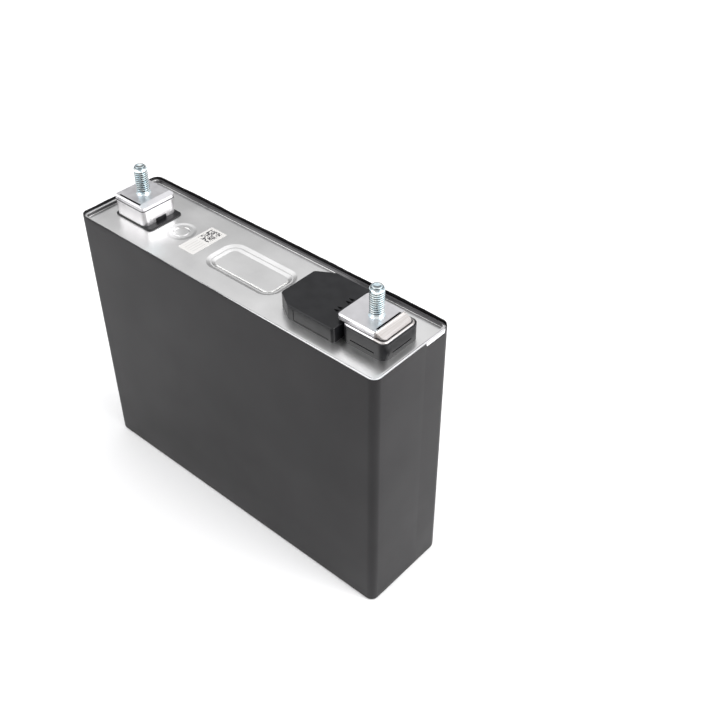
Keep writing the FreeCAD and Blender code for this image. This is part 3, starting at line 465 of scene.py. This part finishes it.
# ---------------------------------------------------------------- studs

# Height in turns and share of the thread's depth, over one turn
THREAD_FORM = ((-0.07, 0.0), (0.07, 0.0), (0.36, 0.93), (0.5, 1.0), (0.64, 0.93))
STUD_SIDES = 72
STUD_POLE = 0.001       # radius that closes a stud's ends
THREAD_START = 0.6      # above the foot the stud stands on
THREAD_END = 1.75       # below the stud's top


def make_stud(node, plate):
    """An M6 stud: a collar, a helical thread, a plain band and a chamfered dog point with a dimple."""
    low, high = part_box(node)
    axis = Vector(((low.x + high.x) / 2, (low.y + high.y) / 2, 0))
    foot, top, collar = low.z / MM, high.z / MM, (high.x - low.x) / 2 / MM
    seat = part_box(plate)[1].z / MM
    start, end = seat + THREAD_START, top - THREAD_END
    turns = math.ceil((end - start) / THREAD_PITCH) + 2

    def ring(radius, height):
        """A circle round the stud's axis."""
        angles = [2 * math.pi * side / STUD_SIDES for side in range(STUD_SIDES)]
        return [axis + Vector((radius * math.cos(a), radius * math.sin(a), height)) * MM for a in angles]

    def thread_row(turn, height, depth):
        """One line of the helix, held between the thread's two ends, where it runs out to the full size."""
        row = []
        for side in range(STUD_SIDES + 1):
            angle = 2 * math.pi * side / STUD_SIDES
            level = start + (turn - 1 + height + side / STUD_SIDES) * THREAD_PITCH
            level = min(end, max(start, level))
            running = smooth(level, start, start + 0.9) * (1 - smooth(level, end - 0.7, end))
            radius = THREAD_MAJOR - THREAD_DEPTH * depth * running
            row.append(axis + Vector((radius * math.cos(angle), radius * math.sin(angle), level)) * MM)
        return row

    collar_profile = (
        (STUD_POLE, foot), (THREAD_MAJOR, foot), (THREAD_MAJOR, seat),
        (collar - 0.1, seat), (collar, seat + 0.08), (collar, seat + 0.18), (collar - 0.12, seat + 0.28),
        (THREAD_MAJOR + 0.1, seat + 0.42), (THREAD_MAJOR, start),
    )
    point_profile = (
        (THREAD_MAJOR, end), (THREAD_MAJOR, top - 1.22), (THREAD_MAJOR - 0.08, top - 1.14),
        (2.64, top - 0.86), (2.6, top - 0.76), (2.6, top - 0.5), (2.52, top - 0.38), (2.2, top - 0.05),
        (2.08, top), (1.5, top), (1.32, top - 0.05), (0.5, top - 0.3), (STUD_POLE, top - 0.34),
    )
    mesh = bmesh.new()
    skin(mesh, [ring(*place) for place in collar_profile])
    thread = [thread_row(turn, height, depth) for turn in range(turns + 1) for height, depth in THREAD_FORM]
    skin(mesh, thread, closed=False)
    skin(mesh, [ring(*place) for place in point_profile])
    bmesh.ops.remove_doubles(mesh, verts=mesh.verts, dist=0.004 * MM)
    return piece(f"{node}_threaded", mesh, "stud_zinc", node)


# ---------------------------------------------------------------- lid seam

BEAD_WIDTH = 0.9
BEAD_INSET = 0.8        # from the can's outline to the bead's path, at the corners
BEAD_RIPPLE = 0.55
BEAD_STEPS = 5          # points in one ripple
BEAD_DRIFTS = 6         # slow waves that change the bead's width along its way
BEAD_PROFILE = (-1.0, -0.85, -0.5, 0.0, 0.5, 0.85, 1.0)


def make_weld_bead():
    """The laser weld all round the lid: a low bead with curved ripples, one each half millimetre or so."""
    low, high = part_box("lid_weld_bead")
    height = (high.z - low.z) / MM
    base = low.z / MM
    half_x, half_y = high.x / MM - BEAD_WIDTH / 2, high.y / MM - BEAD_WIDTH / 2
    path = rounded_outline(half_x, half_y, CAN_CORNER - BEAD_INSET, BEAD_RIPPLE / BEAD_STEPS, 38)
    random.seed(11)
    drifts = [(random.uniform(0.02, 0.4), random.uniform(0, 6.28), random.uniform(0.2, 1.0))
              for _ in range(BEAD_DRIFTS)]
    rings = []
    run = 0.0
    for index, (x, y, out_x, out_y) in enumerate(path):
        if index:
            run += math.dist(path[index - 1][:2], (x, y))
        drift = sum(size * math.sin(run * rate + shift) for rate, shift, size in drifts) / 4
        reach = BEAD_WIDTH / 2 * (0.72 + 0.06 * drift)
        ring = []
        for across in BEAD_PROFILE:
            ripple = (run / BEAD_RIPPLE + 0.45 * across * across) % 1.0
            crown = (1 - across * across) ** 0.5 if abs(across) < 1 else 0.0
            rise = height * crown * (0.45 + 0.2 * ripple)
            ring.append(Vector((x + out_x * across * reach, y + out_y * across * reach, base + rise)) * MM)
        rings.append(ring)
    rings.append(rings[0])
    mesh = bmesh.new()
    skin(mesh, rings, closed=True)
    bmesh.ops.remove_doubles(mesh, verts=mesh.verts, dist=0.0005 * MM)
    return piece("lid_weld_bead_rippled", mesh, "weld_aluminium", "lid_weld_bead")


# ---------------------------------------------------------------- film

FILM = 0.15             # the film's thickness
FILM_CORNER = CAN_CORNER + FILM
FILM_STEP = 7.3         # where the edge steps down at the right end, in Y
FILM_STEP_RUN = 0.5
FILM_BARE_LEVEL = 127.2
FILM_LOW_LEVEL = 129.08
FILM_WALL_LEVELS = (20, 50, 80, 110, 124, 126.8)
FILM_SHOULDER = 126.9   # the lowest that the edge may come
FILM_LEAN = 0.22
BOTTOM_ROUND = 1.35
BOTTOM_STEPS = 6


def film_lip(x, y, half_x, half_y, top):
    """Height of the film's edge: proud at the back and left, level with the rim at the right front."""
    ragged = 0.10 * math.sin(x * 0.11 + 1.3) + 0.06 * math.sin(x * 0.37 + y * 0.5) + 0.03 * math.sin(x * 1.3)
    proud = top - 0.19 + ragged
    if y < FILM_CORNER - half_y:
        share = smooth(x, FILM_CORNER - half_x, half_x)
        dropped = 0.15 + 0.85 * share if x > FILM_CORNER - half_x else 0.0
        return proud + (FILM_LOW_LEVEL - proud) * dropped
    if x > half_x - 0.01 and y < half_y:
        dropped = smooth(y, FILM_STEP - 0.1, FILM_STEP + FILM_STEP_RUN)
        level = FILM_LOW_LEVEL + 0.02 * math.sin(y * 0.9)
        level += (FILM_BARE_LEVEL - level) * dropped
        return level + (proud - level) * smooth(y, half_y - FILM_CORNER, half_y - FILM_CORNER + 1.2)
    if x > half_x - FILM_CORNER and y < half_y - FILM_CORNER:
        return FILM_LOW_LEVEL
    return proud


def make_film():
    """The film envelope with its uneven top edge, which leans in a little where it stands free."""
    low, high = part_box("insulation_film")
    half_x, half_y, top = high.x / MM, high.y / MM, high.z / MM
    path = rounded_outline(half_x, half_y, FILM_CORNER, 0.5, 14)
    lips = [film_lip(x, y, half_x, half_y, top) for x, y, out_x, out_y in path]

    def ring(inset, heights):
        """A ring round the wall, set in by inset, at its own height at each point."""
        return [Vector((x - out_x * inset, y - out_y * inset, height)) * MM
                for (x, y, out_x, out_y), height in zip(path, heights)]

    def level(height):
        return [height] * len(path)

    rings = []
    for step in range(BOTTOM_STEPS + 1):
        angle = math.pi / 2 * step / BOTTOM_STEPS
        rings.append(ring(BOTTOM_ROUND * (1 - math.sin(angle)), level(BOTTOM_ROUND * (1 - math.cos(angle)))))
    rings += [ring(0, level(height)) for height in FILM_WALL_LEVELS]
    leaning = [FILM_LEAN * smooth(lip, RIM_LEVEL, top) * (0.6 + 0.4 * math.sin(0.16 * x + 0.7))
               for lip, (x, y, out_x, out_y) in zip(lips, path)]

    def lip_ring(inset, drop):
        """A ring a drop below the film's edge, which leans in with it."""
        row = []
        for (x, y, out_x, out_y), lip, lean in zip(path, lips, leaning):
            back = inset + lean
            row.append(Vector((x - out_x * back, y - out_y * back, max(FILM_SHOULDER, lip - drop))) * MM)
        return row

    rings.append(ring(0, [min(lip - 0.1, RIM_LEVEL - 0.1) for lip in lips]))
    rings += [lip_ring(0.01, 0.05), lip_ring(0.04, 0.0)]
    rings += [lip_ring(FILM - 0.04, 0.0), lip_ring(FILM - 0.01, 0.05)]
    for below_lip, below_rim in ((0.15, 0.1), (0.4, 0.6)):
        rings.append(ring(FILM - 0.002, [min(lip - below_lip, RIM_LEVEL - below_rim) for lip in lips]))
    mesh = bmesh.new()
    rows = skin(mesh, rings)
    mesh.faces.new(rows[0])
    return piece("insulation_film_wrapped", mesh, "film_black", "insulation_film")


def make_flap(node, side):
    """The film's overlapping end: a thin sheet whose two upright edges are pressed flat."""
    low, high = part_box(node)
    inner = min(abs(low.x), abs(high.x)) / MM
    sheet = abs(high.x - low.x) / MM
    front, back = low.y / MM, high.y / MM
    spread = ((0.0, 0.05), (1.5, 0.45), (3.5, 1.0))
    across = [(front + run, share) for run, share in spread]
    across += [(back - run, share) for run, share in reversed(spread)]
    outside = [(side * (inner + sheet * share), y) for y, share in across]
    inside = [(side * inner, y) for y, share in reversed(across)]

    def ring(inset, height):
        return [Vector((x if place >= len(outside) else x - side * inset, y, height)) * MM
                for place, (x, y) in enumerate(outside + inside)]

    foot, top = low.z / MM, high.z / MM
    mesh = bmesh.new()
    rows = skin(mesh, [ring(0.004, foot), ring(0.0, foot + 0.4), ring(0.0, top - 0.4), ring(0.004, top)])
    mesh.faces.new(rows[0])
    mesh.faces.new(rows[-1])
    return piece(f"{node}_pressed", mesh, "film_black", node)


# ---------------------------------------------------------------- the cell

make_stud("positive_stud", "positive_stud_plate")
make_stud("negative_stud", "negative_stud_plate")
make_weld_bead()
make_film()
make_flap("film_flap_right", 1)
make_flap("film_flap_left", -1)

# The angle (degrees) above which an edge stays crisp, for a node with shallow steps
CRISP = {"lid_plate": 16.0}

# Every CAD node takes its material; those replaced above carry it unseen
slot_of = {row["node"]: row["material_slot"] for row in frame["record"]["subparts"]}
for name, made in nodes.items():
    made.data.materials.clear()
    made.data.materials.append(MATERIALS[slot_of[name]])
    smooth_by_angle(made, CRISP.get(name, 35.0))


# ---------------------------------------------------------------- stage, light and camera

FLOOR_HALF = 6.0
FLOOR_GAP = 0.0002
CAMERA_PLACE = (0.26669, -0.23753, 0.37358)
CAMERA_TARGET = (0.03132, 0.03239, 0.075)

# The tent's light by height, as a direction's upward part: bright at the sides and dimmer overhead.
# The wall's goes the other way, from grey to bright.
TENT_STOPS = ((0.2, 1.2), (0.5, 0.87))
WALL_STOPS = ((0.48, 0.20), (0.66, 1.2))
WALL_DIRECTION = (-0.62, 0.55, 0.56)


def make_stage():
    """A plain white floor under the cell."""
    data = bpy.data.meshes.new("floor")
    signs = ((-1, -1), (1, -1), (1, 1), (-1, 1))
    data.from_pydata([(x * FLOOR_HALF, y * FLOOR_HALF, 0) for x, y in signs], [], [(0, 1, 2, 3)])
    floor = bpy.data.objects.new("floor", data)
    bpy.context.scene.collection.objects.link(floor)
    white = Shader("floor_white", (0.96, 0.96, 0.96), 0.9)
    data.materials.append(white.material)
    floor.location.z = -FLOOR_GAP


def aim(made, place, target):
    """Puts a light or the camera into the scene at a place, turned to face its target."""
    bpy.context.scene.collection.objects.link(made)
    turn = (Vector(target) - Vector(place)).to_track_quat("-Z", "Y")
    made.matrix_world = Matrix.Translation(place) @ turn.to_matrix().to_4x4()


def make_area(name, place, target, size, watts):
    """A soft square light that faces its target."""
    data = bpy.data.lights.new(name, "AREA")
    data.shape = "SQUARE"
    data.size = size
    data.energy = watts
    aim(bpy.data.objects.new(name, data), place, target)


def grey_ramp(tree, height, stops):
    """A slightly cool grey that goes from one stop to the other, each (height, level)."""
    ramp = tree.nodes.new("ShaderNodeValToRGB")
    tree.links.new(height, ramp.inputs["Fac"])
    for element, (position, level) in zip(ramp.color_ramp.elements, stops):
        element.position = position
        element.color = (level, level, level * 1.01, 1)
    return ramp.outputs["Color"]


def make_world():
    """A bright studio tent, dimmer overhead, with one greyer wall at the back left that the lid mirrors."""
    world = bpy.data.worlds.new("tent")
    world.use_nodes = True
    tree = world.node_tree
    place = tree.nodes.new("ShaderNodeTexCoord").outputs["Generated"]
    split = tree.nodes.new("ShaderNodeSeparateXYZ")
    facing = tree.nodes.new("ShaderNodeVectorMath")
    wall = tree.nodes.new("ShaderNodeMapRange")
    mix = tree.nodes.new("ShaderNodeMix")
    facing.operation = "DOT_PRODUCT"
    facing.inputs[1].default_value = WALL_DIRECTION
    wall.interpolation_type = "SMOOTHSTEP"
    wall.inputs["From Min"].default_value = 0.74
    wall.inputs["From Max"].default_value = 0.92
    mix.data_type = "RGBA"
    colours = [socket for socket in mix.inputs if socket.type == "RGBA"]
    result = next(socket for socket in mix.outputs if socket.type == "RGBA")
    tree.links.new(place, split.inputs["Vector"])
    tree.links.new(place, facing.inputs[0])
    tree.links.new(facing.outputs["Value"], wall.inputs["Value"])
    tree.links.new(wall.outputs["Result"], mix.inputs[0])
    tree.links.new(grey_ramp(tree, split.outputs["Z"], TENT_STOPS), colours[0])
    tree.links.new(grey_ramp(tree, split.outputs["Z"], WALL_STOPS), colours[1])
    tree.links.new(result, tree.nodes["Background"].inputs["Color"])
    bpy.context.scene.world = world


def make_camera():
    """The camera, above the cell's right front corner."""
    data = bpy.data.cameras.new("camera")
    data.lens = 51.44
    data.sensor_width = 36.0
    data.clip_start = 0.01
    data.clip_end = 50.0
    camera = bpy.data.objects.new("camera", data)
    aim(camera, CAMERA_PLACE, CAMERA_TARGET)
    bpy.context.scene.camera = camera


make_stage()
make_world()
make_area("key_light", (0.75, 0.45, 1.2), (0.1, 0.05, 0.0), 1.2, 8.0)
make_area("end_light", (0.75, 0.15, 0.42), (0.08, 0.0, 0.08), 0.5, 4.0)
make_area("fill_light", (-0.55, -0.95, 1.1), (0.0, -0.15, 0.0), 1.2, 10.0)
make_camera()
bpy.context.scene.view_settings.view_transform = "Standard"
